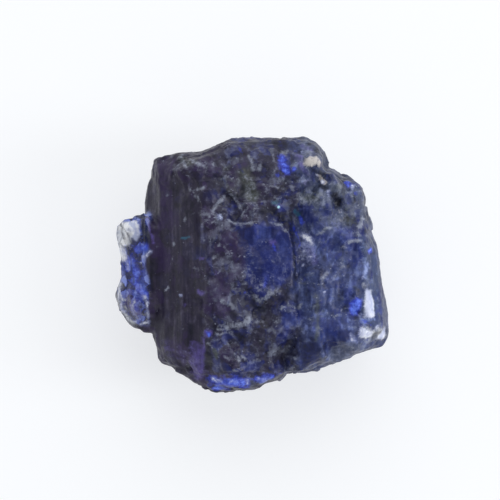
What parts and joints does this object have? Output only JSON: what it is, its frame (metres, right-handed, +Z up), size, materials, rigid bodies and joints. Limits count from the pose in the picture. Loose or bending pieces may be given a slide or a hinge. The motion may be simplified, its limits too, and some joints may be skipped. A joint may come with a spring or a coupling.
{
  "type": "rough sapphire crystal",
  "caption": "Rough dark blue sapphire crystal: a blocky striated prism with chipped ends, a second prism grown beside it and a small clear lobe. A loose stone that lies on its flat back.",
  "frame": {"origin": "on the surface that the crystal lies on, under the middle of its outline", "axes": "+X right and +Y along the prisms, as seen from above with the broad face up; +Z up off the parting face"},
  "size_m": [0.016, 0.015, 0.0089],
  "materials": {
    "deep_blue_crystal": "see-through deep blue crystal with satin striated faces and frosted grey breaks"
  },
  "bodies": {
    "root": {"sapphire_crystal": "deep_blue_crystal"}
  },
  "joints": []
}
